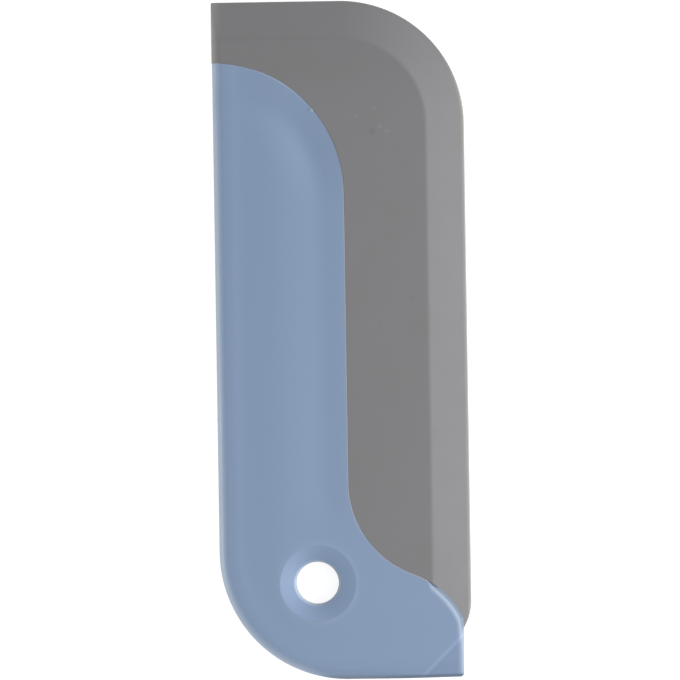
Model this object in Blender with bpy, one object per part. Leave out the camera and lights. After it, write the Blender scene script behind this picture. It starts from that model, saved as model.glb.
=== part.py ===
"""Hand squeegee for dishes and pans: a rigid grip and a soft blade moulded over its web.

Both pieces are drawn flat, from the spine at x = 0 and the foot at y = 0, about a middle
plane at z = 0, so that front and back are alike. The tool then lies on its back: the origin
is the centre of its underside, +Y runs along its length and +Z points out of its face.
All lengths are in metres and all angles in radians.
"""

import math
from dataclasses import dataclass

import bmesh
import bpy

# The whole tool: foot to top lip, spine to side lip.
LENGTH = 0.1604
WIDTH = 0.0595

# The grip: how thick it is, how far it reaches and how its edges are rolled over.
GRIP_THICKNESS = 0.006
GRIP_WIDTH = 0.0309
GRIP_TOP_SETBACK = 0.01445
GRIP_SPINE_SETBACK = 0.0001
GRIP_EDGE_ROLL = 0.0026
BORDER_EDGE_ROLL = 0.0002
HEEL_RADIUS = 0.0303

# The border between grip and blade: shoulder, straight run, waist, knuckle and tip. The
# waist's radius is a share of its rise above the tip's round.
SHOULDER_RADIUS = 0.0309
WAIST_HEIGHT = 0.0463
WAIST_RADIUS_SHARE = 0.6755
KNUCKLE_RADIUS = 0.0213
TIP_ROUND_RADIUS = 0.0058
TIP_SIDE_HEIGHT = 0.0124

# The scraping tip, which stands back from the lip and is stepped down across its corner.
TIP_SETBACK = 0.0020
TIP_CORNER_RADIUS = 0.0006
TIP_SIDE_ROLL = 0.0014
TIP_FOOT_ROLL = 0.0012
TIP_STEP_REACH = 0.0103
TIP_STEP_DEPTH = 0.00025
TIP_STEP_RUN = 0.0004
TIP_FACE_SLOPE = math.radians(3)

# The hanging eye, with a shallow dish on both faces and a rounded throat.
EYE_X = 0.0232
EYE_Y = 0.0229
EYE_RADIUS = 0.0050
EYE_THROAT_ROLL = 0.0010
DISH_RADIUS = 0.0089
DISH_SLOPE = math.radians(13)

# The blade: a flat field just below the grip's face, and a bevel down to a thin lip.
BLADE_FACE_DROP = 0.0002
BEVEL_WIDTH = 0.0091
LIP_THICKNESS = 0.0010
LIP_NOSE = 0.0004
BLADE_SPINE_ROLL = 0.0023
TOP_CORNER_RADIUS = 0.0293
SPINE_CORNER_RADIUS = 0.0004
BLADE_END_RADIUS = 0.0130
BLADE_END_HEIGHT = 0.0184

# The web that carries the blade. A row of holes, which the blade's posts fill, starts below
# the waist, climbs along the web's middle line and turns with the shoulder.
WEB_THICKNESS = 0.0024
WEB_BEVEL_MARGIN = 0.0035
WEB_SPINE_MARGIN = 0.0120
WEB_ROOT = 0.0030
ANCHOR_DROP = 0.0080
ANCHOR_PITCH = 0.0125
ANCHOR_TURN = math.radians(18)
ANCHORS_ON_SHOULDER = 3
ANCHOR_BREADTH_SHARE = 0.37

# Between the two pieces, how far a cutter passes the faces that it cuts, and how near two
# points lie that are one.
FIT_CLEARANCE = 0.0003
OVERRUN = 0.0010
WELD = 0.000001

# How finely curves are divided.
LONG_ARC_STEPS = 18
SHORT_ARC_STEPS = 9
ROUND_STEPS = 4
ROLL_STEPS = 5
TURN_STEPS = 48
ANCHOR_STEPS = 24
HALVINGS = 24
SHARP_ANGLE = math.radians(25)

# Finishes, as linear colours.
GRIP_COLOUR = (0.24, 0.33, 0.47)
GRIP_ROUGHNESS = 0.45
BLADE_COLOUR = (0.22, 0.22, 0.23)
BLADE_ROUGHNESS = 0.65

# Derived sizes that both pieces share.
GRIP_HALF = GRIP_THICKNESS / 2
BLADE_HALF = GRIP_HALF - BLADE_FACE_DROP
LIP_HALF = LIP_THICKNESS / 2
TIP_SIDE = WIDTH - TIP_SETBACK
WAIST_RADIUS = (WAIST_HEIGHT - TIP_SIDE_HEIGHT) * WAIST_RADIUS_SHARE
SHOULDER_CENTRE = (GRIP_WIDTH - SHOULDER_RADIUS, LENGTH - GRIP_TOP_SETBACK - SHOULDER_RADIUS)
TOP_CORNER_CENTRE = (WIDTH - TOP_CORNER_RADIUS, LENGTH - TOP_CORNER_RADIUS)
WEB_BAND = BEVEL_WIDTH + WEB_BEVEL_MARGIN


@dataclass
class Arc:
    """One arc of the border, run anticlockwise round the grip."""

    centre: tuple
    radius: float
    start: float
    end: float
    steps: int
    bulge: int = 1

    def point(self, share, offset):
        """The point at a share of the arc, moved towards the blade by an offset."""
        angle = self.start + (self.end - self.start) * share
        radius = self.radius + self.bulge * offset
        return (
            self.centre[0] + radius * math.cos(angle),
            self.centre[1] + radius * math.sin(angle),
        )

    def points(self, offset):
        """Evenly spaced points; the offset is a function of the share of the arc."""
        shares = [step / self.steps for step in range(self.steps + 1)]
        return [self.point(share, offset(share)) for share in shares]


def arc_points(centre, radius, start, end, steps):
    """Points of a plain arc, both ends included."""
    return Arc(centre, radius, start, end, steps).points(lambda share: 0)


def mixed(first, second, share):
    """The value at a share of the way from the first to the second."""
    return first + (second - first) * share


def knuckle_centre(waist_centre, tip_round_centre):
    """Centre of the arc that touches the waist from outside and wraps the tip's round."""
    reach_waist = WAIST_RADIUS + KNUCKLE_RADIUS
    reach_tip = KNUCKLE_RADIUS - TIP_ROUND_RADIUS
    across = tip_round_centre[0] - waist_centre[0]
    along = tip_round_centre[1] - waist_centre[1]
    apart = math.hypot(across, along)
    foot = (reach_waist**2 - reach_tip**2 + apart**2) / (2 * apart)
    height = math.sqrt(reach_waist**2 - foot**2)
    return (
        waist_centre[0] + (foot * across + height * along) / apart,
        waist_centre[1] + (foot * along - height * across) / apart,
    )


def border_arcs():
    """The tip's round, the knuckle and the waist, each tangent to its neighbours."""
    waist_centre = (GRIP_WIDTH + WAIST_RADIUS, WAIST_HEIGHT)
    round_centre = (TIP_SIDE - TIP_ROUND_RADIUS, TIP_SIDE_HEIGHT)
    centre = knuckle_centre(waist_centre, round_centre)
    low = math.atan2(round_centre[1] - centre[1], round_centre[0] - centre[0])
    high = math.atan2(waist_centre[1] - centre[1], waist_centre[0] - centre[0])
    return (
        Arc(round_centre, TIP_ROUND_RADIUS, 0, low, ROUND_STEPS),
        Arc(centre, KNUCKLE_RADIUS, low, high, SHORT_ARC_STEPS),
        Arc(waist_centre, WAIST_RADIUS, high + math.pi, math.pi, SHORT_ARC_STEPS, -1),
    )


def shoulder_arc(stop_x, offset):
    """The shoulder, from the straight border round to where it reaches a given x."""
    reach = (stop_x - SHOULDER_CENTRE[0]) / (SHOULDER_RADIUS + offset)
    return Arc(SHOULDER_CENTRE, SHOULDER_RADIUS, 0, math.acos(reach), LONG_ARC_STEPS)


def border_points(offset, stop_x):
    """The whole border from the tip's side to a given x, moved towards the blade."""
    points = [(TIP_SIDE + offset, TIP_SIDE_HEIGHT)]
    for arc in border_arcs():
        points += arc.points(lambda share: offset)[1:]
    return points + shoulder_arc(stop_x, offset).points(lambda share: offset)


def rolled_inset(height, half_thickness, roll):
    """How far a rolled edge has drawn in at a height from the middle plane."""
    rise = max(abs(height) - (half_thickness - roll), 0)
    return roll - math.sqrt(max(roll**2 - rise**2, 0))


def mirrored_heights(half_thickness, roll, others):
    """Heights of a lofted body's sections: the steps of its rolled edge and some others."""
    steps = [math.sin(math.pi / 2 * step / ROLL_STEPS) for step in range(ROLL_STEPS + 1)]
    upper = {half_thickness - roll + roll * step for step in steps} | set(others)
    return sorted(upper | {-height for height in upper})


def loft(bm, sections):
    """A closed body through sections of equally many points, listed from the lowest up."""
    rings = [[bm.verts.new(point) for point in section] for section in sections]
    for lower, upper in zip(rings, rings[1:]):
        for index in range(len(lower)):
            following = (index + 1) % len(lower)
            corners = (lower[index], lower[following], upper[following], upper[index])
            bm.faces.new(corners)
    bm.faces.new(reversed(rings[0]))
    bm.faces.new(rings[-1])


def prism(bm, outline, half_thickness):
    """A flat body with straight walls, as thick below the middle plane as above it."""
    loft(bm, [[(x, y, z) for x, y in outline] for z in (-half_thickness, half_thickness)])


def grip_contour(height):
    """The grip's outline at a height from its middle plane, anticlockwise from the heel."""

    def inset(roll):
        return rolled_inset(height, GRIP_HALF, roll)

    tip_round, knuckle, waist = border_arcs()
    outer = inset(GRIP_EDGE_ROLL)
    foot = inset(TIP_FOOT_ROLL)
    side = inset(TIP_SIDE_ROLL)
    edge = inset(BORDER_EDGE_ROLL)
    heel = (GRIP_SPINE_SETBACK + HEEL_RADIUS, HEEL_RADIUS)
    points = arc_points(heel, HEEL_RADIUS - outer, math.pi, 1.5 * math.pi, LONG_ARC_STEPS)
    for step in range(1, ROUND_STEPS + 1):
        share = step / ROUND_STEPS
        roll = mixed(GRIP_EDGE_ROLL, TIP_FOOT_ROLL, share)
        points.append((mixed(heel[0], TIP_SIDE - TIP_STEP_REACH, share), inset(roll)))
    corner = (TIP_SIDE - side - TIP_CORNER_RADIUS, foot + TIP_CORNER_RADIUS)
    points += arc_points(corner, TIP_CORNER_RADIUS, 1.5 * math.pi, 2 * math.pi, ROUND_STEPS)
    points += tip_round.points(lambda share: -side)
    points += knuckle.points(
        lambda share: -inset(mixed(TIP_SIDE_ROLL, BORDER_EDGE_ROLL, share))
    )[1:]
    points += waist.points(lambda share: -edge)[1:]
    points += shoulder_arc(GRIP_SPINE_SETBACK + outer, -edge).points(lambda share: -edge)
    return points


def step_down_tip(bm):
    """Thins the scraping tip beyond a crease that crosses its corner at 45 degrees."""
    diagonal = math.sqrt(0.5)
    out = (diagonal, -diagonal, 0)
    crease = (TIP_SIDE - TIP_STEP_REACH, 0, 0)
    for distance in (0, TIP_STEP_RUN):
        bmesh.ops.bisect_plane(
            bm,
            geom=bm.verts[:] + bm.edges[:] + bm.faces[:],
            dist=WELD,
            plane_co=(crease[0] + distance * diagonal, crease[1] - distance * diagonal, 0),
            plane_no=out,
        )
    for vert in bm.verts:
        beyond = (vert.co.x - crease[0]) * diagonal - (vert.co.y - crease[1]) * diagonal
        if beyond < TIP_STEP_RUN - WELD:
            continue
        fall = TIP_STEP_DEPTH + (beyond - TIP_STEP_RUN) * math.tan(TIP_FACE_SLOPE)
        vert.co.z *= (GRIP_HALF - fall) / GRIP_HALF


def grip_body(bm):
    """The grip without its web and eye."""
    heights = mirrored_heights(GRIP_HALF, GRIP_EDGE_ROLL, [GRIP_HALF - BORDER_EDGE_ROLL])
    loft(bm, [[(x, y, z) for x, y in grip_contour(z)] for z in heights])
    step_down_tip(bm)


def eye_cutter(bm):
    """The turned shape of the eye: dish, rounded throat and bore, alike on both faces."""
    slope = math.tan(DISH_SLOPE)
    throat_x = EYE_RADIUS + EYE_THROAT_ROLL
    tangent_angle = math.pi / 2 + DISH_SLOPE
    tangent_x = throat_x + EYE_THROAT_ROLL * math.cos(tangent_angle)
    tangent_z = GRIP_HALF - (DISH_RADIUS - tangent_x) * slope
    throat_z = tangent_z - EYE_THROAT_ROLL * math.sin(tangent_angle)
    throat = arc_points(
        (throat_x, throat_z), EYE_THROAT_ROLL, tangent_angle, math.pi, ROUND_STEPS
    )
    upper = [(0, GRIP_HALF + OVERRUN), (DISH_RADIUS + OVERRUN / slope, GRIP_HALF + OVERRUN)]
    upper += throat
    profile = upper + [(x, -z) for x, z in reversed(upper)]
    verts = [bm.verts.new((EYE_X + x, EYE_Y, z)) for x, z in profile]
    edges = [bm.edges.new(pair) for pair in zip(verts, verts[1:])]
    bmesh.ops.spin(
        bm,
        geom=verts + edges,
        cent=(EYE_X, EYE_Y, 0),
        axis=(0, 0, 1),
        angle=2 * math.pi,
        steps=TURN_STEPS,
        use_merge=True,
    )
    bmesh.ops.remove_doubles(bm, verts=bm.verts[:], dist=WELD)


def web_outline(grow):
    """The web's outline, its free edges moved outwards by a growth."""
    side = WIDTH - WEB_BAND + grow
    top = LENGTH - WEB_BAND + grow
    end = WEB_SPINE_MARGIN - grow
    root = [point for point in border_points(-WEB_ROOT, 0) if end < point[0] < side]
    corner_radius = TOP_CORNER_RADIUS - WEB_BAND + grow
    corner = arc_points(TOP_CORNER_CENTRE, corner_radius, 0, math.pi / 2, SHORT_ARC_STEPS)
    outer = [(side, root[0][1])] + corner + [(end, top), (end, root[-1][1])]
    return outer + root[::-1]


def web_edge_distance(point):
    """How far a point of the web lies inside its free edge."""
    across = point[0] - TOP_CORNER_CENTRE[0]
    along = point[1] - TOP_CORNER_CENTRE[1]
    reach = TOP_CORNER_RADIUS - WEB_BAND
    if across > 0 and along > 0:
        return reach - math.hypot(across, along)
    return reach - max(across, along)


def web_middle(angle):
    """The middle of the web on a ray from the shoulder's centre, and half its breadth there."""
    least = 0
    most = WIDTH
    for _ in range(HALVINGS):
        half = mixed(least, most, 1 / 2)
        reach = SHOULDER_RADIUS + half
        point = (
            SHOULDER_CENTRE[0] + reach * math.cos(angle),
            SHOULDER_CENTRE[1] + reach * math.sin(angle),
        )
        if web_edge_distance(point) > half:
            least = half
        else:
            most = half
    return point, half


def anchors():
    """Centre and radius of each hole in the web, up its straight run and round the shoulder."""
    (middle_x, top), half = web_middle(0)
    climb = top - (WAIST_HEIGHT - ANCHOR_DROP)
    count = round(climb / ANCHOR_PITCH)
    places = [((middle_x, top - climb * step / count), half) for step in range(count, -1, -1)]
    places += [web_middle(ANCHOR_TURN * turn) for turn in range(1, ANCHORS_ON_SHOULDER + 1)]
    return [(centre, half * ANCHOR_BREADTH_SHARE) for centre, half in places]


def web_plate(bm, grow):
    """The web without its holes, or with a growth the socket that holds it."""
    prism(bm, web_outline(grow), WEB_THICKNESS / 2 + grow)


def anchor_posts(bm, grow):
    """Round posts that fill the web's holes, each slimmer than its hole by a growth."""
    for centre, radius in anchors():
        circle = arc_points(centre, radius - grow, 0, 2 * math.pi, ANCHOR_STEPS)
        prism(bm, circle[:-1], WEB_THICKNESS / 2 + FIT_CLEARANCE + OVERRUN)


def bevel_inset(height):
    """How far the lip and bevel have drawn in at a height from the middle plane."""
    height = abs(height)
    if height <= LIP_HALF:
        return LIP_NOSE * (1 - math.sqrt(max(1 - (height / LIP_HALF) ** 2, 0)))
    return mixed(LIP_NOSE, BEVEL_WIDTH, (height - LIP_HALF) / (BLADE_HALF - LIP_HALF))


def blade_contour(height):
    """The blade's outline at a height, still square at its end and over the grip."""
    lip = bevel_inset(height)
    spine = rolled_inset(height, BLADE_HALF, BLADE_SPINE_ROLL)
    base = BLADE_END_HEIGHT - BLADE_END_RADIUS
    corner_radius = TOP_CORNER_RADIUS - lip
    spine_corner = (spine + SPINE_CORNER_RADIUS, LENGTH - lip - SPINE_CORNER_RADIUS)
    points = [(WIDTH - lip, base)]
    points += arc_points(TOP_CORNER_CENTRE, corner_radius, 0, math.pi / 2, LONG_ARC_STEPS)
    points += arc_points(
        spine_corner, SPINE_CORNER_RADIUS, math.pi / 2, math.pi, ROUND_STEPS
    )
    points.append((spine, base))
    return points


def blade_blank(bm):
    """The blade before the grip, its end and the web are taken out of it."""
    nose = [LIP_HALF * math.sin(math.pi / 2 * step / ROUND_STEPS) for step in range(ROUND_STEPS)]
    heights = mirrored_heights(BLADE_HALF, BLADE_SPINE_ROLL, nose + [LIP_HALF])
    loft(bm, [[(x, y, z) for x, y in blade_contour(z)] for z in heights])


def grip_zone(bm):
    """All that lies on the grip's side of the border, with the fit's clearance."""
    outline = [(-OVERRUN, -OVERRUN), (TIP_SIDE + FIT_CLEARANCE, -OVERRUN)]
    outline += border_points(FIT_CLEARANCE, -OVERRUN)
    prism(bm, outline, GRIP_HALF + OVERRUN)


def blade_end_cutter(bm):
    """What lies outside the arc that ends the lip behind the tip."""
    centre = (WIDTH - BLADE_END_RADIUS, BLADE_END_HEIGHT)
    outline = arc_points(centre, BLADE_END_RADIUS, 0, -math.pi / 2, LONG_ARC_STEPS)
    outline += [
        (centre[0], centre[1] - BLADE_END_RADIUS - OVERRUN),
        (WIDTH + OVERRUN, centre[1] - BLADE_END_RADIUS - OVERRUN),
        (WIDTH + OVERRUN, centre[1]),
    ]
    prism(bm, outline, BLADE_HALF + OVERRUN)


def plastic(name, colour, roughness):
    """A moulded, uncoated material of one colour."""
    material = bpy.data.materials.new(name)
    material.use_nodes = True
    material.diffuse_color = (*colour, 1)
    shader = material.node_tree.nodes["Principled BSDF"]
    shader.inputs["Base Color"].default_value = (*colour, 1)
    shader.inputs["Roughness"].default_value = roughness
    shader.inputs["Metallic"].default_value = 0
    return material


def shaped(name, build, carrier, *sizes):
    """A new object, carried by the tool's empty, whose mesh a function builds."""
    bm = bmesh.new()
    build(bm, *sizes)
    bmesh.ops.recalc_face_normals(bm, faces=bm.faces[:])
    mesh = bpy.data.meshes.new(name)
    bm.to_mesh(mesh)
    bm.free()
    mesh.shade_smooth()
    mesh.set_sharp_from_angle(angle=SHARP_ANGLE)
    piece = bpy.data.objects.new(name, mesh)
    piece.parent = carrier
    bpy.context.scene.collection.objects.link(piece)
    return piece


def helper(name, build, carrier, *sizes):
    """A shape that only cuts or joins others and isn't a piece of the tool."""
    piece = shaped(name, build, carrier, *sizes)
    piece.hide_render = True
    piece.display_type = "WIRE"
    return piece


def combine(piece, operation, other):
    """Joins another shape to a piece, or cuts it out."""
    modifier = piece.modifiers.new(other.name, "BOOLEAN")
    modifier.operation = operation
    modifier.solver = "EXACT"
    modifier.object = other


def even_shading(piece):
    """Lets the flat faces set the shading at the edges that curve into them."""
    piece.modifiers.new("even_shading", "WEIGHTED_NORMAL").keep_sharp = True


def make_grip(carrier):
    """The rigid moulding: grip, perforated web, hanging eye and scraping tip."""
    grip = shaped("grip", grip_body, carrier)
    grip.data.materials.append(
        plastic("pale blue polypropylene", GRIP_COLOUR, GRIP_ROUGHNESS)
    )
    web = helper("web", web_plate, carrier, 0)
    combine(web, "DIFFERENCE", helper("web_holes", anchor_posts, carrier, 0))
    combine(grip, "UNION", web)
    combine(grip, "DIFFERENCE", helper("eye_cut", eye_cutter, carrier))
    even_shading(grip)
    return grip


def make_blade(carrier):
    """The soft moulding: field, bevel and lip, with a socket and posts for the web."""
    blade = shaped("blade", blade_blank, carrier)
    blade.data.materials.append(
        plastic("grey thermoplastic rubber", BLADE_COLOUR, BLADE_ROUGHNESS)
    )
    socket = helper("web_socket", web_plate, carrier, FIT_CLEARANCE)
    posts = helper("socket_posts", anchor_posts, carrier, FIT_CLEARANCE)
    combine(socket, "DIFFERENCE", posts)
    combine(blade, "DIFFERENCE", helper("grip_zone", grip_zone, carrier))
    combine(blade, "DIFFERENCE", helper("blade_end", blade_end_cutter, carrier))
    combine(blade, "DIFFERENCE", socket)
    even_shading(blade)
    return blade


def main():
    """Clears the scene and makes the squeegee, lying on its back."""
    for piece in list(bpy.data.objects):
        bpy.data.objects.remove(piece, do_unlink=True)
    squeegee = bpy.data.objects.new("squeegee", None)
    squeegee.location = (-WIDTH / 2, -LENGTH / 2, GRIP_HALF)
    bpy.context.scene.collection.objects.link(squeegee)
    make_grip(squeegee)
    make_blade(squeegee)


main()
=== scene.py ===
"""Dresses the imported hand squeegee: a matte blue grip and a soft grey blade moulded onto it.

The tool lies on its back. Each of the frame's two solids is shown by a finer mesh of the same
size, with rolled rims, soft creases and the faint waves that moulded faces have. Meshes are
drawn from the spine at x = 0 and the foot at y = 0, about a middle plane at z = 0, and then
moved to where the frame's solids lie. All lengths are in metres and all angles in radians.
"""

import logging
import math
from collections.abc import Callable, Iterable, Mapping, Sequence
from dataclasses import dataclass
from enum import Enum
from functools import cached_property

import bmesh
import bpy
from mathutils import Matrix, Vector


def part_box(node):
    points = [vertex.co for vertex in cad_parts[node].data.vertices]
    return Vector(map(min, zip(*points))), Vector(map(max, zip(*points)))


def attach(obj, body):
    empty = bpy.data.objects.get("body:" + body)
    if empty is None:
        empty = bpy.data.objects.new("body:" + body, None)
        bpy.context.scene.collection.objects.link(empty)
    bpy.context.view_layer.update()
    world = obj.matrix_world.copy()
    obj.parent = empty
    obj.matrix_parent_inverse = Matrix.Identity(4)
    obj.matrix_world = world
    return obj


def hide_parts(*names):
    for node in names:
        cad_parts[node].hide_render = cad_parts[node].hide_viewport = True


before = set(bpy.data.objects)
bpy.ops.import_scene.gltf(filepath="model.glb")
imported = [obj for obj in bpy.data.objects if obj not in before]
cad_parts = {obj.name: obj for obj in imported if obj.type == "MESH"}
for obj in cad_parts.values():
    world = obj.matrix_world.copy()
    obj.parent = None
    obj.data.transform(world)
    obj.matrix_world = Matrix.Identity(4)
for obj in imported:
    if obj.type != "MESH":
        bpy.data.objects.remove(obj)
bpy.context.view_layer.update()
frame_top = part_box("grip")[1].z

WELD = 1e-7
SHARP_ANGLE = math.radians(40)
FULL_TURN = 2 * math.pi
QUARTER_TURN = math.pi / 2
THREE_QUARTER_TURN = 1.5 * math.pi
WHITE = "#FFFFFF"
# Vertex layers of painted light: a painted highlight on rims and edges, a painted highlight along
# the grip's border, and painted shade at the grip's foot, tip and groove and behind the blade's top
# bevel.
PAINTED_HIGHLIGHT_LAYER = "painted_edge_highlight"
PAINTED_SHADE_LAYER = "painted_edge_shade"
BORDER_HIGHLIGHT_LAYER = "painted_border_highlight"

# Sockets of a Mix node that mixes colours: its share, the colour under it, the one laid over
# that, and the result.
MIX_SHARE, MIX_UNDER, MIX_OVER, MIX_RESULT = 0, 6, 7, 2

log = logging.getLogger("squeegee")

Point = tuple[float, float]


class Face(Enum):
    """The two faces of the tool, as the sign of their height above its middle plane."""

    FRONT = 1
    BACK = -1


def mixed(first: float, second: float, share: float) -> float:
    """Gives the value at a share of the way from the first to the second.

    Args:
        first: Value at share 0.
        second: Value at share 1.
        share: How far along, from 0 to 1.

    Returns:
        The value in between.
    """
    return first + (second - first) * share


def between(first: Point, last: Point, steps: int) -> list[Point]:
    """Gives evenly spaced points inside a straight run.

    Args:
        first: Where the run starts.
        last: Where it ends.
        steps: Number of steps from start to end.

    Returns:
        The points, without both ends.
    """
    return [
        (mixed(first[0], last[0], index / steps), mixed(first[1], last[1], index / steps))
        for index in range(1, steps)
    ]


def eased(value: float, start: float, end: float) -> float:
    """Rises smoothly from 0 at one value to 1 at another.

    Args:
        value: Where to read the rise.
        start: Value at which it leaves 0.
        end: Value at which it reaches 1.

    Returns:
        A number from 0 to 1.
    """
    share = min(max((value - start) / (end - start), 0.0), 1.0)
    return share * share * (3 - 2 * share)


def swell(distance: float, reach: float) -> float:
    """Gives the height of a soft unit hump at a distance from its middle.

    Args:
        distance: Distance from the hump's middle.
        reach: Distance at which the hump has fallen to about a third.

    Returns:
        A number from 0 to 1.
    """
    return math.exp(-((distance / reach) ** 2))


def rolled_inset(height: float, half_thickness: float, roll: float) -> float:
    """Says how far a rolled edge has drawn in at a height.

    Args:
        height: Height above the middle plane.
        half_thickness: Height of the face that the edge rolls into.
        roll: Radius of the rolled edge.

    Returns:
        The inset from the widest outline.
    """
    rise = max(abs(height) - (half_thickness - roll), 0.0)
    return roll - math.sqrt(max(roll**2 - rise**2, 0.0))


def crowned_inset(height: float, half_thickness: float, radius: float, drop: float) -> float:
    """Says how far a crowned edge has drawn in at a height, above the corner that ends it.

    Args:
        height: Height above the middle plane.
        half_thickness: Height of the face that the edge falls from.
        radius: Radius of the crown.
        drop: How far the crown has fallen at its corner.

    Returns:
        The inset from the widest outline.
    """
    depth = min(half_thickness - abs(height), drop)
    run = math.sqrt(radius**2 - (radius - drop) ** 2)
    return run - math.sqrt(max(radius**2 - (radius - depth) ** 2, 0.0))


def roll_heights(half_thickness: float, roll: float, steps: int) -> set[float]:
    """Gives the heights at which a rolled edge has its even steps.

    Args:
        half_thickness: Height of the face that the edge rolls into.
        roll: Radius of the rolled edge.
        steps: Number of steps in its quarter turn.

    Returns:
        Heights above the middle plane, the first where the roll starts.
    """
    turns = (QUARTER_TURN * step / steps for step in range(steps + 1))
    return {half_thickness - roll + roll * math.sin(turn) for turn in turns}


def mirrored(heights: Iterable[float], least_step: float) -> list[float]:
    """Orders heights, thins them out and repeats them below the middle plane.

    Args:
        heights: Heights at or above the middle plane.
        least_step: Smallest step that is kept between two of them.

    Returns:
        Heights from the lowest up, alike above and below.
    """
    kept: list[float] = []
    for height in sorted(heights, reverse=True):
        if not kept or kept[-1] - height >= least_step:
            kept.append(height)
    return [-height for height in kept if height > 0] + kept[::-1]


@dataclass(frozen=True)
class Arc:
    """One arc of an outline that runs anticlockwise round its piece.

    A hollow arc has its centre outside the piece.
    """

    centre: Point
    radius: float
    start: float
    end: float
    steps: int
    hollow: bool = False

    def trace(self, offset: Callable[[float], float] = lambda share: 0.0) -> list[Point]:
        """Gives evenly spaced points along the arc, both ends included.

        Args:
            offset: Distance moved out of the piece, for a share of the arc.

        Returns:
            The points, from the arc's start to its end.
        """
        points = []
        for index in range(self.steps + 1):
            share = index / self.steps
            angle = mixed(self.start, self.end, share)
            radius = self.radius + (-offset(share) if self.hollow else offset(share))
            x = self.centre[0] + radius * math.cos(angle)
            y = self.centre[1] + radius * math.sin(angle)
            points.append((x, y))
        return points


@dataclass(frozen=True)
class Berth:
    """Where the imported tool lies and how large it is, read from the frame."""

    spine: float
    foot: float
    middle: float
    width: float
    length: float
    grip_half: float
    blade_half: float

    @classmethod
    def from_frame(cls) -> "Berth":
        """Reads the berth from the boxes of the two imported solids.

        Returns:
            The berth.
        """
        grip_low, grip_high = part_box("grip")
        blade_low, blade_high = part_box("blade")
        return cls(
            spine=blade_low.x,
            foot=grip_low.y,
            middle=(grip_low.z + grip_high.z) / 2,
            width=blade_high.x - blade_low.x,
            length=blade_high.y - grip_low.y,
            grip_half=(grip_high.z - grip_low.z) / 2,
            blade_half=(blade_high.z - blade_low.z) / 2,
        )

    def place(self, x: float, y: float, z: float = 0.0) -> Vector:
        """Turns a drawn point into a point of the frame."""
        return Vector((self.spine + x, self.foot + y, self.middle + z))


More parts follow.
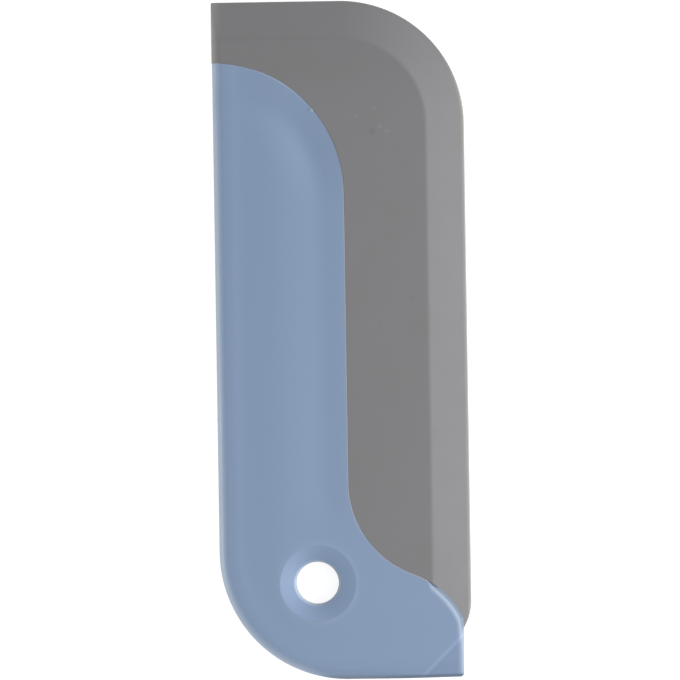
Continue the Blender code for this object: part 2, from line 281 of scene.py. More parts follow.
@dataclass(frozen=True)
class Border:
    """The curve on which the two mouldings meet, from the tip's side round to the spine."""

    berth: Berth
    grip_width: float = 0.0309
    top_setback: float = 0.01445
    shoulder_radius: float = 0.0309
    waist_height: float = 0.0463
    waist_radius: float = 0.0229
    knuckle_radius: float = 0.0213
    tip_setback: float = 0.0020
    tip_round_radius: float = 0.0058
    tip_side_height: float = 0.0124
    arc_steps: int = 56
    straight_steps: int = 45

    @property
    def tip_side(self) -> float:
        """Distance of the tip's side from the spine."""
        return self.berth.width - self.tip_setback

    @property
    def shoulder_centre(self) -> Point:
        """Centre of the shoulder, which touches the straight run."""
        top = self.berth.length - self.top_setback
        return (self.grip_width - self.shoulder_radius, top - self.shoulder_radius)

    @cached_property
    def lower_arcs(self) -> tuple[Arc, Arc, Arc]:
        """Gives the tip's round, the knuckle and the waist, each tangent to the next.

        Returns:
            The three arcs, in the order in which the border runs.
        """
        waist = (self.grip_width + self.waist_radius, self.waist_height)
        tip = (self.tip_side - self.tip_round_radius, self.tip_side_height)
        waist_reach = self.waist_radius + self.knuckle_radius
        tip_reach = self.knuckle_radius - self.tip_round_radius
        across, along = tip[0] - waist[0], tip[1] - waist[1]
        apart = math.hypot(across, along)
        nearer = (waist_reach**2 - tip_reach**2 + apart**2) / (2 * apart)
        aside = math.sqrt(waist_reach**2 - nearer**2)
        knuckle = (
            waist[0] + (nearer * across + aside * along) / apart,
            waist[1] + (nearer * along - aside * across) / apart,
        )
        low = math.atan2(tip[1] - knuckle[1], tip[0] - knuckle[0])
        high = math.atan2(waist[1] - knuckle[1], waist[0] - knuckle[0])
        return (
            Arc(tip, self.tip_round_radius, 0.0, low, self.arc_steps),
            Arc(knuckle, self.knuckle_radius, low, high, self.arc_steps),
            Arc(waist, self.waist_radius, high + math.pi, math.pi, self.arc_steps, hollow=True),
        )

    def shoulder(self, stop_x: float, offset: float) -> Arc:
        """Gives the shoulder's arc up to where it crosses an x.

        Args:
            stop_x: Distance from the spine at which it ends.
            offset: Distance by which the border is moved towards the blade.

        Returns:
            The arc.
        """
        reach = (stop_x - self.shoulder_centre[0]) / (self.shoulder_radius + offset)
        turn = math.acos(reach)
        return Arc(self.shoulder_centre, self.shoulder_radius, 0.0, turn, self.arc_steps)

    def straight(self, offset: float) -> list[Point]:
        """Gives the points inside the straight run between waist and shoulder.

        Args:
            offset: Distance by which the border is moved towards the blade.

        Returns:
            The points, without the run's ends.
        """
        x = self.grip_width + offset
        top = self.shoulder_centre[1]
        return between((x, self.waist_height), (x, top), self.straight_steps)

    def inner_distance(self, x: float, y: float) -> float:
        """Says how far a point of the grip lies inside the border.

        Args:
            x: Distance from the spine.
            y: Distance from the foot.

        Returns:
            The distance from the nearest arc or straight run, or below them from the tip's side.
        """
        if y < self.tip_side_height:
            return self.tip_side - x
        if y > self.shoulder_centre[1]:
            centre_x, centre_y = self.shoulder_centre
            return self.shoulder_radius - math.hypot(x - centre_x, y - centre_y)
        if y > self.waist_height:
            return self.grip_width - x
        tip_round, knuckle, waist = self.lower_arcs
        across, along = x - waist.centre[0], y - waist.centre[1]
        if math.atan2(along, across) % FULL_TURN < waist.start:
            return math.hypot(across, along) - waist.radius
        across, along = x - tip_round.centre[0], y - tip_round.centre[1]
        if math.atan2(along, across) < tip_round.end:
            return tip_round.radius - math.hypot(across, along)
        return knuckle.radius - math.hypot(x - knuckle.centre[0], y - knuckle.centre[1])

    def trace(self, offset: float, stop_x: float) -> list[Point]:
        """Gives the whole border from the tip's side to an x.

        Args:
            offset: Distance by which it is moved towards the blade.
            stop_x: Distance from the spine at which it ends.

        Returns:
            The points in order.
        """
        points: list[Point] = []
        for arc in self.lower_arcs:
            points += arc.trace(lambda share: offset)
        points += self.straight(offset)
        return points + self.shoulder(stop_x, offset).trace(lambda share: offset)


def loft(bm: bmesh.types.BMesh, rings: Sequence[tuple[Sequence[Point], float]]) -> None:
    """Extrudes an outline from ring to ring into an open wall.

    Args:
        bm: Mesh to build in.
        rings: Outlines of equally many points with their heights, from the lowest up.
    """
    bmesh.ops.create_circle(bm, cap_ends=False, segments=len(rings[0][0]), radius=1.0)
    ring = list(bm.verts)
    for level, (points, z) in enumerate(rings):
        if level > 0:
            edges = [bm.edges.get((vert, ring[index - 1])) for index, vert in enumerate(ring)]
            made = bmesh.ops.extrude_edge_only(bm, edges=edges)["geom"]
            fresh = {item for item in made if isinstance(item, bmesh.types.BMVert)}
            ring = [
                next(other for edge in vert.link_edges if (other := edge.other_vert(vert)) in fresh)
                for vert in ring
            ]
        for vert, (x, y) in zip(ring, points, strict=True):
            vert.co = (x, y, z)


def close_faces(bm: bmesh.types.BMesh) -> None:
    """Fills both faces of a lofted wall, round any hole in them.

    Args:
        bm: Mesh whose open edges are filled.
    """
    for face in Face:
        edges = [
            edge
            for edge in bm.edges
            if edge.is_boundary and all(vert.co.z * face.value > 0 for vert in edge.verts)
        ]
        bmesh.ops.triangle_fill(bm, use_beauty=True, use_dissolve=True, edges=edges)
    bmesh.ops.recalc_face_normals(bm, faces=bm.faces[:])


def slice_mesh(bm: bmesh.types.BMesh, point: Vector, normal: Vector) -> None:
    """Cuts a line of edges through the whole mesh where a plane crosses it.

    Args:
        bm: Mesh to cut.
        point: A point of the plane.
        normal: Direction that the plane faces.
    """
    geometry = bm.verts[:] + bm.edges[:] + bm.faces[:]
    bmesh.ops.bisect_plane(bm, geom=geometry, dist=WELD, plane_co=point, plane_no=normal)


def grid_mesh(bm: bmesh.types.BMesh, width: float, length: float, pitch: float) -> None:
    """Cuts the mesh into a grid, so that its flat faces can carry faint waves.

    Args:
        bm: Mesh to cut.
        width: How far the grid reaches along x.
        length: How far it reaches along y.
        pitch: Size of its squares.
    """
    for axis, reach in ((Vector((1, 0, 0)), width), (Vector((0, 1, 0)), length)):
        for index in range(int(reach / pitch)):
            slice_mesh(bm, axis * (index + 0.5) * pitch, axis)


def make_object(bm: bmesh.types.BMesh, name: str) -> bpy.types.Object:
    """Turns a drawn mesh into an object of the scene.

    Args:
        bm: The mesh, which is freed.
        name: Name of the object and of its mesh.

    Returns:
        The object, at the origin.
    """
    mesh = bpy.data.meshes.new(name)
    bm.to_mesh(mesh)
    bm.free()
    piece = bpy.data.objects.new(name, mesh)
    bpy.context.scene.collection.objects.link(piece)
    return piece


def finish_piece(
    bm: bmesh.types.BMesh,
    name: str,
    berth: Berth,
    layers: Mapping[str, Callable[[float, float], float]],
) -> bpy.types.Object:
    """Makes a smooth-shaded object of a drawn mesh, in place in the frame.

    Args:
        bm: The mesh, which is freed.
        name: Name of the object.
        berth: Where the tool lies.
        layers: For each named layer, its strength at a distance from spine and foot.

    Returns:
        The object, at the origin, with its place in its mesh.
    """
    bmesh.ops.remove_doubles(bm, verts=bm.verts[:], dist=WELD)
    bmesh.ops.recalc_face_normals(bm, faces=bm.faces[:])
    for layer_name, strength in layers.items():
        layer = bm.verts.layers.float.new(layer_name)
        for vert in bm.verts:
            vert[layer] = strength(vert.co.x, vert.co.y)
    bmesh.ops.translate(bm, verts=bm.verts[:], vec=berth.place(0.0, 0.0))
    piece = make_object(bm, name)
    piece.data.shade_smooth()
    piece.data.set_sharp_from_angle(angle=SHARP_ANGLE)
    return piece


def carve(bm: bmesh.types.BMesh, cutter: bmesh.types.BMesh) -> bmesh.types.BMesh:
    """Cuts one drawn shape out of another.

    Args:
        bm: The shape to cut, which is freed.
        cutter: The shape that cuts, which is freed.

    Returns:
        What is left.
    """
    pieces = [make_object(bm, "carved"), make_object(cutter, "cutter")]
    modifier = pieces[0].modifiers.new("carve", "BOOLEAN")
    modifier.operation = "DIFFERENCE"
    modifier.solver = "EXACT"
    modifier.object = pieces[1]
    left = bmesh.new()
    left.from_object(pieces[0], bpy.context.evaluated_depsgraph_get())
    for piece in pieces:
        mesh = piece.data
        bpy.data.objects.remove(piece)
        bpy.data.meshes.remove(mesh)
    return left


@dataclass(frozen=True)
class Wave:
    """A soft hump at a distance from an edge, in the face's height or in a tint's strength.

    A negative height makes a hollow.
    """

    distance: float
    reach: float
    height: float

    def rise(self, distance: float) -> float:
        """Says how high the wave stands at a distance from the edge."""
        return self.height * swell(distance - self.distance, self.reach)


@dataclass(frozen=True)
class Band:
    """A tint along an edge: its strength there, and between which distances it fades out."""

    strength: float
    start: float
    end: float

    def shade(self, distance: float) -> float:
        """Says how strong the tint is at a distance from the edge."""
        return self.strength * (1 - eased(distance, self.start, self.end))


@dataclass(frozen=True)
class Eye:
    """The hanging eye: a bore with a rounded throat and a shallow dish on both faces."""

    x: float = 0.0232
    y: float = 0.0229
    radius: float = 0.0050
    throat_roll: float = 0.0010
    dish_radius: float = 0.0089
    dish_slope: float = math.radians(16)
    brim_roll: float = 0.0012
    bead: Wave = Wave(distance=0.0092, reach=0.0005, height=0.00002)

    # Painted highlight on the throat and round the brim
    throat_highlight: Band = Band(strength=0.7, start=0.0052, end=0.0057)
    brim_highlight: float = 0.12
    brim_highlight_reach: float = 0.0010

    # Steps of the mesh
    shelf: float = 0.00015
    shelf_steps: int = 8
    turns: int = 160
    throat_steps: int = 10
    brim_steps: int = 4

    def distance(self, x: float, y: float) -> float:
        """Says how far a point lies from the eye's middle."""
        return math.hypot(x - self.x, y - self.y)

    def painted_highlight(self, x: float, y: float) -> float:
        """Says how strong the painted highlight is on the eye's throat and round its brim.

        Args:
            x: Distance from the spine.
            y: Distance from the foot.

        Returns:
            A number from 0 to 1.
        """
        away = self.distance(x, y)
        brim = self.brim_highlight * eased(away, self.dish_radius, self.bead.distance)
        brim *= swell(away - self.bead.distance, self.brim_highlight_reach)
        return max(self.throat_highlight.shade(away), brim)

    def profile(self, half_thickness: float) -> list[Point]:
        """Gives the turned profile of the upper half, from the face down to the bore.

        Args:
            half_thickness: Height of the grip's face.

        Returns:
            Radius and height of each point.
        """
        brim_x = self.dish_radius + self.brim_roll * math.tan(self.dish_slope / 2)
        points = [
            (brim_x + self.shelf * step, half_thickness) for step in range(self.shelf_steps, 0, -1)
        ]
        for step in range(self.brim_steps + 1):
            turn = self.dish_slope * step / self.brim_steps
            drop = self.brim_roll * (1 - math.cos(turn))
            points.append((brim_x - self.brim_roll * math.sin(turn), half_thickness - drop))
        throat_x = self.radius + self.throat_roll
        tangent_x = throat_x - self.throat_roll * math.sin(self.dish_slope)
        fall = (self.dish_radius - tangent_x) * math.tan(self.dish_slope)
        throat_z = half_thickness - fall - self.throat_roll * math.cos(self.dish_slope)
        start = QUARTER_TURN + self.dish_slope
        throat = Arc((throat_x, throat_z), self.throat_roll, start, math.pi, self.throat_steps)
        return points + throat.trace()

    def turn(self, bm: bmesh.types.BMesh, half_thickness: float) -> None:
        """Spins the eye's wall into a mesh, open at both faces.

        Args:
            bm: Mesh to build in.
            half_thickness: Height of the grip's face.
        """
        upper = self.profile(half_thickness)
        outline = upper + [(x, -z) for x, z in reversed(upper)]
        verts = [bm.verts.new((self.x + x, self.y, z)) for x, z in outline]
        edges = [bm.edges.new(pair) for pair in zip(verts, verts[1:])]
        bmesh.ops.spin(
            bm,
            geom=verts + edges,
            cent=(self.x, self.y, 0),
            axis=(0, 0, 1),
            angle=FULL_TURN,
            steps=self.turns,
            use_merge=True,
        )
        bmesh.ops.remove_doubles(bm, verts=bm.verts[:], dist=WELD)


@dataclass(frozen=True)
class Tip:
    """The scraping tip: the corner beyond a crease at 45 degrees, stepped down and hollow."""

    corner_radius: float = 0.0009
    foot_lift: float = 0.00027
    side_crown: float = 0.0045
    side_drop: float = 0.0003
    foot_roll: float = 0.0012
    reach: float = 0.0103
    step_depth: float = 0.00019
    step_run: float = 0.0011
    hollow_depth: float = 0.00012
    hollow_run: float = 0.0045
    slice_share: float = 0.125
    slices: int = 28

    def beyond(self, x: float, y: float, tip_side: float) -> float:
        """Says how far a point lies beyond the crease, for a tip whose side is at tip_side."""
        return (x - y - tip_side + self.reach) / math.sqrt(2) + self.step_run / 2

    def fall(self, beyond: float) -> float:
        """Says how far the face has dropped at a distance beyond the crease.

        Args:
            beyond: Distance from the crease, towards the corner.

        Returns:
            The drop below the grip's face.
        """
        if beyond <= 0:
            return 0.0
        step = self.step_depth * eased(beyond, 0.0, self.step_run)
        hollow = self.hollow_depth * (1 - math.exp(-beyond / self.hollow_run))
        return step - hollow * eased(beyond, 0.0, self.step_run)

    def shape(self, bm: bmesh.types.BMesh, tip_side: float, half_thickness: float) -> None:
        """Cuts lines along the crease and lowers what lies beyond it.

        Args:
            bm: The grip's mesh.
            tip_side: Distance of the tip's side from the spine.
            half_thickness: Height of the grip's face.
        """
        out = Vector((1, -1, 0)).normalized()
        crease = Vector((tip_side - self.reach, 0, 0)) - out * self.step_run / 2
        for index in range(self.slices):
            distance = self.step_run * self.slice_share * index
            slice_mesh(bm, crease + out * distance, out)
        for vert in bm.verts:
            beyond = self.beyond(vert.co.x, vert.co.y, tip_side)
            vert.co.z *= (half_thickness - self.fall(beyond)) / half_thickness


@dataclass
class Grip:
    """The rigid moulding, with its rolled rim, hanging eye and scraping tip."""

    berth: Berth
    border: Border
    eye: Eye
    tip: Tip

    # Outline and rolled edges
    spine_setback: float = 0.0001
    heel_radius: float = 0.0303
    edge_roll: float = 0.0026
    border_roll: float = 0.0002
    knuckle_crown: float = 0.0042
    knuckle_drop: float = 0.00045
    knuckle_fade: tuple[float, float] = (0.0490, 0.0512)

    # Faint waves of the moulded face, from its rim, then from its border
    crown: Wave = Wave(distance=0.0148, reach=0.0060, height=0.00018)
    rim_ridge: Wave = Wave(distance=0.0040, reach=0.0014, height=0.00006)
    border_sink: Wave = Wave(distance=0.0060, reach=0.0035, height=-0.00017)
    waist_fade: tuple[float, float] = (0.0340, 0.0440)
    shoulder_sink: Wave = Wave(distance=0.0064, reach=0.0050, height=-0.00042)
    shoulder_fade: tuple[float, float] = (0.1080, 0.1280)

    # Painted highlights on the rim, the knuckle's crest and the shoulder
    rim_highlight: Wave = Wave(distance=0.0, reach=0.0013, height=0.8)
    heel_fade: tuple[float, float] = (0.0180, 0.0270)
    crest_highlight: float = 0.78
    crest_reach: float = 0.00052
    crest_distances: tuple[float, float] = (0.0002, 0.0010)
    crest_fade: tuple[float, float] = (0.0060, 0.0150)
    shoulder_highlight: Band = Band(strength=0.25, start=0.0002, end=0.0005)

    # A painted highlight along the border
    border_highlight_line: Band = Band(strength=1.0, start=0.0002, end=0.0005)
    border_highlight_fade: tuple[float, float] = (0.1180, 0.1340)
    border_highlight_gap: Wave = Wave(distance=0.0329, reach=0.0030, height=0.85)

    # Painted shade along the foot, in the knuckle's groove and beyond the tip's crease
    groove_shade: Band = Band(strength=0.60, start=0.0003, end=0.0009)
    groove_fade: tuple[float, float] = (0.0100, 0.0140)
    foot_shade: Wave = Wave(distance=0.0, reach=0.0035, height=0.12)
    heel_shade_run: tuple[float, float] = (0.0, 0.0018)
    tip_shade_run: tuple[float, float] = (0.0004, 0.0012)
    shade_shift: tuple[float, float] = (0.0300, 0.0450)
    tip_shade: float = 0.06

    # Steps of the mesh
    shelves: tuple[float, float] = (0.0003, 0.00012)
    heel_steps: int = 80
    foot_steps: int = 20
    corner_steps: int = 8
    roll_steps: int = 16
    small_roll_steps: int = 6
    least_height_step: float = 0.00001
    grid_pitch: float = 0.0015
    ridge_lines: tuple[float, ...] = (0.0030, 0.0045, 0.0060, 0.0075)

    def contour(self, height: float, shelf: float = 0.0) -> list[Point]:
        """Gives the grip's outline at a height, anticlockwise from the top of the heel.

        Args:
            height: Height above the middle plane.
            shelf: Distance drawn in further than the rolled edges.

        Returns:
            As many points at every height.
        """
        half = self.berth.grip_half

        def inset(roll: float) -> float:
            """Gives the inset of a rolled edge at this height."""
            return rolled_inset(height, half, roll) + shelf

        side = crowned_inset(height, half, self.tip.side_crown, self.tip.side_drop) + shelf
        outer, foot = inset(self.edge_roll), inset(self.tip.foot_roll)
        rim = crowned_inset(height, half, self.knuckle_crown, self.knuckle_drop) + shelf
        edge = inset(self.border_roll)
        heel = (self.spine_setback + self.heel_radius, self.heel_radius)
        tip_side = self.border.tip_side
        corner_radius = self.tip.corner_radius
        turn = Arc(heel, self.heel_radius, math.pi, THREE_QUARTER_TURN, self.heel_steps)
        points = turn.trace(lambda share: -outer)
        for index in range(1, self.foot_steps + 1):
            share = index / self.foot_steps
            roll = mixed(self.edge_roll, self.tip.foot_roll, eased(share, 0.0, 1.0))
            x = mixed(heel[0], tip_side - self.tip.reach, share)
            points.append((x, self.foot_line(x) + inset(roll)))
        corner = (tip_side - side - corner_radius, self.tip.foot_lift + foot + corner_radius)
        turn = Arc(corner, corner_radius, THREE_QUARTER_TURN, FULL_TURN, self.corner_steps)
        points += turn.trace()
        tip_round, knuckle, waist = self.border.lower_arcs
        points += tip_round.trace(lambda share: -mixed(side, rim, eased(share, 0.0, 1.0)))

        def knuckle_offset(share: float) -> float:
            """Moves the knuckle in by its crown, or near the waist by the plain rolled edge.

            Args:
                share: Share of the knuckle's arc.

            Returns:
                The distance moved, which is negative.
            """
            turn = mixed(knuckle.start, knuckle.end, share)
            x = knuckle.centre[0] + knuckle.radius * math.cos(turn)
            return -mixed(edge, rim, eased(x, *self.knuckle_fade))

        points += knuckle.trace(knuckle_offset)[1:]
        points += waist.trace(lambda share: -edge)[1:]
        points += self.border.straight(-edge)
        shoulder = self.border.shoulder(self.spine_setback + outer, -edge)
        return points + shoulder.trace(lambda share: -edge)

    def foot_line(self, x: float) -> float:
        """Says how far the foot's edge has risen towards the tip.

        Args:
            x: Distance from the spine.

        Returns:
            The rise above the bottom of the heel.
        """
        start = self.spine_setback + self.heel_radius
        share = max(x - start, 0.0) / (self.border.tip_side - start)
        return self.tip.foot_lift * share**2

    def outer_distance(self, x: float, y: float) -> float:
        """Says how far a point lies inside the spine and heel.

        Args:
            x: Distance from the spine.
            y: Distance from the foot.

        Returns:
            The distance from the nearer of them.
        """
        centre_x = self.spine_setback + self.heel_radius
        if x < centre_x and y < self.heel_radius:
            return self.heel_radius - math.hypot(x - centre_x, y - self.heel_radius)
        return min(x - self.spine_setback, y)

    def sink(self, x: float, y: float) -> float:
        """Says how far the face lies below its crown at a point.

        Args:
            x: Distance from the spine.
            y: Distance from the foot.

        Returns:
            The depth below the grip's highest face.
        """
        outer = self.outer_distance(x, y)
        inner = self.border.inner_distance(x, y)
        rise = self.crown.rise(outer) + self.rim_ridge.rise(outer)
        rise += eased(y, *self.waist_fade) * self.border_sink.rise(inner)
        rise += eased(y, *self.shoulder_fade) * self.shoulder_sink.rise(inner)
        rise += self.eye.bead.rise(self.eye.distance(x, y))
        return max(self.crown.height - rise, 0.0)

    def painted_highlight(self, x: float, y: float) -> float:
        """Says how strong the painted highlight is along the grip's rim, shoulder and eye and its
        knuckle's crest.

        Args:
            x: Distance from the spine.
            y: Distance from the foot.

        Returns:
            A number from 0 to 1.
        """
        rim = self.rim_highlight.rise(self.outer_distance(x, y)) * (1 - eased(x, *self.heel_fade))
        crest_distance = mixed(*self.crest_distances, eased(y, *self.crest_fade))
        inner = self.border.inner_distance(x, y)
        crest = self.crest_highlight * swell(inner - crest_distance, self.crest_reach)
        crest *= eased(x, *self.knuckle_fade)
        shoulder = self.shoulder_highlight.shade(inner) * eased(y, *self.border_highlight_fade)
        return max(rim, crest, shoulder, self.eye.painted_highlight(x, y))

    def border_highlight(self, x: float, y: float) -> float:
        """Says how strong the painted highlight is along the grip's border.

        Args:
            x: Distance from the spine.
            y: Distance from the foot.

        Returns:
            A number from 0 to 1.
        """
        line = self.border_highlight_line.shade(self.border.inner_distance(x, y))
        line *= 1 - eased(x, *self.knuckle_fade)
        line *= 1 - eased(y, *self.border_highlight_fade)
        return line * (1 - self.border_highlight_gap.rise(y))

    def painted_shade(self, x: float, y: float) -> float:
        """Says how strong the painted shade is along the grip's foot, its tip and the knuckle's
        groove.

        Args:
            x: Distance from the spine.
            y: Distance from the foot.

        Returns:
            A number from 0 to 1.
        """
        height = y - self.foot_line(x)
        shift = eased(x, *self.shade_shift)
        start, end = (
            mixed(heel, tip, shift) for heel, tip in zip(self.heel_shade_run, self.tip_shade_run)
        )
        line = 1 - eased(height, start, end)
        foot = max(line, self.foot_shade.rise(height)) * eased(x, *self.heel_fade)
        groove = self.groove_shade.shade(self.border.inner_distance(x, y))
        groove *= eased(x, *self.knuckle_fade) * eased(y, *self.groove_fade)
        beyond = self.tip.beyond(x, y, self.border.tip_side)
        tip = self.tip_shade * eased(beyond, 0.0, self.tip.step_run)
        return max(foot, groove) + (1 - foot) * tip

    def build(self) -> bpy.types.Object:
        """Builds the grip.

        Returns:
            The object, in place in the frame.
        """
        half = self.berth.grip_half
        heights = {0.0} | roll_heights(half, self.edge_roll, self.roll_steps)
        heights |= roll_heights(half, self.border_roll, self.small_roll_steps)
        for step in range(1, self.small_roll_steps + 1):
            heights.add(half - self.tip.side_drop * (step / self.small_roll_steps) ** 2)
        rings = [(self.contour(z), z) for z in mirrored(heights, self.least_height_step)]
        bm = bmesh.new()
        loft(
            bm,
            [
                *((self.contour(-half, shelf), -half) for shelf in self.shelves),
                *rings,
                *((self.contour(half, shelf), half) for shelf in reversed(self.shelves)),
            ],
        )
        self.eye.turn(bm, half)
        close_faces(bm)
        grid_mesh(bm, self.berth.width, self.berth.length, self.grid_pitch)
        for x in self.ridge_lines:
            slice_mesh(bm, Vector((x, 0, 0)), Vector((1, 0, 0)))
        self.tip.shape(bm, self.border.tip_side, half)
        for vert in bm.verts:
            vert.co.z *= (half - self.sink(vert.co.x, vert.co.y)) / half
        # Painted highlight, painted border highlight and painted shade, kept on the vertices.
        layers = {PAINTED_HIGHLIGHT_LAYER: self.painted_highlight, BORDER_HIGHLIGHT_LAYER: self.border_highlight, PAINTED_SHADE_LAYER: self.painted_shade}
        return finish_piece(bm, "grip_moulding", self.berth, layers)


@dataclass
class Blade:
    """The soft moulding: a flat field with a bevel down to a thin lip along two sides."""

    berth: Berth
    border: Border

    # Outline, bevel and rolled edges
    bevel_width: float = 0.0091
    crease_roll: float = 0.0040
    lip_half: float = 0.0005
    lip_nose: float = 0.0004
    spine_roll: float = 0.0023
    top_corner_radius: float = 0.0293
    spine_corner_radius: float = 0.0004
    end_radius: float = 0.0130
    end_height: float = 0.0184
    end_stop: float = math.radians(-80)

    # Painted highlight along the lip and spine, and painted shade behind the top bevel
    lip_highlight: Band = Band(strength=0.75, start=0.0003, end=0.0010)
    lip_highlight_fade: tuple[float, float] = (0.1360, 0.1480)
    spine_highlight_reach: float = 0.0013
    top_shade: Wave = Wave(distance=0.1475, reach=0.0090, height=0.13)
    flat_blend: float = 0.0010

    # The cut along the grip
    seam_lap: float = 0.00001
    overrun: float = 0.0010

    # Steps of the mesh
    shelf: float = 0.00012
    end_steps: int = 36
    side_steps: int = 70
    corner_steps: int = 70
    top_steps: int = 20
    small_corner_steps: int = 6
    bend_reach: float = 0.0020
    bend_steps: int = 40
    spine_steps: int = 60
    roll_steps: int = 14
    nose_steps: int = 6
    crease_steps: int = 6
    least_height_step: float = 0.000003
    grid_pitch: float = 0.0015

    @property
    def slope(self) -> float:
        """Angle at which the bevel falls."""
        run = self.bevel_width - self.lip_nose
        return math.atan2(self.berth.blade_half - self.lip_half, run)

    def lip_inset(self, height: float) -> float:
        """Says how far the lip and bevel have drawn in at a height.

        Args:
            height: Height above the middle plane.

        Returns:
            The inset from the lip's edge.
        """
        height = abs(height)
        if height <= self.lip_half:
            return self.lip_nose * (1 - math.sqrt(max(1 - (height / self.lip_half) ** 2, 0.0)))
        below = self.berth.blade_half - height
        if below < self.crease_roll * (1 - math.cos(self.slope)):
            turn = math.acos(1 - below / self.crease_roll)
            tangent = self.crease_roll * math.tan(self.slope / 2)
            return self.bevel_width + tangent - self.crease_roll * math.sin(turn)
        return self.bevel_width - below / math.tan(self.slope)

    def spine_inset(self, height: float, y: float) -> float:
        """Says how far the rolled spine has drawn in, under the face or the bevel above it.

        Args:
            height: Height above the middle plane.
            y: Distance from the foot.

        Returns:
            The inset from the spine.
        """
        fall = max(y - (self.berth.length - self.bevel_width), 0.0) * math.tan(self.slope)
        surface = self.berth.blade_half - fall
        return rolled_inset(height, surface, self.spine_roll * surface / self.berth.blade_half)

    def contour(self, height: float, shelf: float = 0.0) -> list[Point]:
        """Gives the blade's outline at a height, before the grip is taken out of it.

        Args:
            height: Height above the middle plane.
            shelf: Distance drawn in further than the bevel and rolled edges.

        Returns:
            As many points at every height, anticlockwise from behind the tip.
        """
        lip = self.lip_inset(height) + shelf
        width, length = self.berth.width, self.berth.length
        side = width - lip
        end = (width - self.end_radius, self.end_height)
        end_radius = self.end_radius - min(lip, self.lip_nose)
        meet = -math.acos(min((side - end[0]) / end_radius, 1.0))
        points = Arc(end, end_radius, self.end_stop, meet, self.end_steps).trace()
        centre = (width - self.top_corner_radius, length - self.top_corner_radius)
        points += between(points[-1], (side, centre[1]), self.side_steps)
        corner = Arc(centre, self.top_corner_radius, 0.0, QUARTER_TURN, self.corner_steps)
        points += corner.trace(lambda share: -lip)
        radius = self.spine_corner_radius
        turn_y = length - lip - radius
        turn = (self.spine_inset(height, turn_y) + shelf + radius, turn_y)
        points += between(points[-1], (turn[0], length - lip), self.top_steps)
        points += Arc(turn, radius, QUARTER_TURN, math.pi, self.small_corner_steps).trace()
        bend = (0.0, length - self.bevel_width - self.bend_reach)
        last = (0.0, self.end_height - self.end_radius)
        down = between((0.0, turn_y), bend, self.bend_steps) + [bend]
        down += between(bend, last, self.spine_steps) + [last]
        return points + [(self.spine_inset(height, y) + shelf, y) for _, y in down]

    def grip_zone(self) -> bmesh.types.BMesh:
        """Draws all that lies on the grip's side of the border.

        Returns:
            A prism that cuts the blade where it meets the grip.
        """
        overrun = self.overrun
        outline = [(-overrun, -overrun), (self.border.tip_side - self.seam_lap, -overrun)]
        outline += self.border.trace(-self.seam_lap, -overrun)
        zone = bmesh.new()
        reach = self.berth.grip_half + overrun
        loft(zone, [(outline, -reach), (outline, reach)])
        bmesh.ops.remove_doubles(zone, verts=zone.verts[:], dist=WELD)
        close_faces(zone)
        return zone

    def lip_distance(self, x: float, y: float) -> float:
        """Says how far a point lies inside the lip.

        Args:
            x: Distance from the spine.
            y: Distance from the foot.

        Returns:
            The distance from the nearest of the side, the top and the round between them.
        """
        from_side, from_top = self.berth.width - x, self.berth.length - y
        radius = self.top_corner_radius
        if from_side < radius and from_top < radius:
            return radius - math.hypot(radius - from_side, radius - from_top)
        return min(from_side, from_top)

    def painted_highlight(self, x: float, y: float) -> float:
        """Says how strong the painted highlight is along the side of the blade's lip and along its
        spine.
        """
        lip = self.lip_highlight.shade(self.lip_distance(x, y)) * (1 - eased(y, *self.lip_highlight_fade))
        return max(lip, swell(x, self.spine_highlight_reach))

    def painted_shade(self, x: float, y: float) -> float:
        """Says how strong the painted shade is on the flat of the blade just behind its top bevel.
        """
        flat_start = self.bevel_width - self.flat_blend
        return self.top_shade.rise(y) * eased(self.lip_distance(x, y), flat_start, self.bevel_width)

    def build(self) -> bpy.types.Object:
        """Builds the blade.

        Returns:
            The object, in place in the frame.
        """
        half = self.berth.blade_half
        crease_depth = self.crease_roll * (1 - math.cos(self.slope))
        heights = {0.0, self.lip_half} | roll_heights(half, self.spine_roll, self.roll_steps)
        for step in range(self.nose_steps):
            heights.add(self.lip_half * math.sin(QUARTER_TURN * step / self.nose_steps))
        for step in range(1, self.crease_steps + 1):
            heights.add(half - crease_depth * (step / self.crease_steps) ** 2)
        for reach in (self.lip_highlight.start, self.lip_highlight.end):
            heights.add(self.lip_half + (reach - self.lip_nose) * math.tan(self.slope))
        levels = mirrored(heights, self.least_height_step)
        rings = [
            (self.contour(-half, self.shelf), -half),
            *((self.contour(z), z) for z in levels),
            (self.contour(half, self.shelf), half),
        ]
        bm = bmesh.new()
        loft(bm, rings)
        close_faces(bm)
        grid_mesh(bm, self.berth.width, self.berth.length, self.grid_pitch)
        bm = carve(bm, self.grip_zone())
        # Painted highlight and painted shade, kept on the vertices.
        layers = {PAINTED_HIGHLIGHT_LAYER: self.painted_highlight, PAINTED_SHADE_LAYER: self.painted_shade}
        return finish_piece(bm, "blade_moulding", self.berth, layers)


def srgb(code: str) -> tuple[float, float, float, float]:
    """Turns an sRGB hex code into a linear colour.

    Args:
        code: Six hex digits after a hash.

    Returns:
        Linear red, green and blue, and full opacity.
    """
    channels = [int(code[index : index + 2], 16) / 255 for index in (1, 3, 5)]
    linear = [c / 12.92 if c <= 0.04045 else ((c + 0.055) / 1.055) ** 2.4 for c in channels]
    return (linear[0], linear[1], linear[2], 1.0)


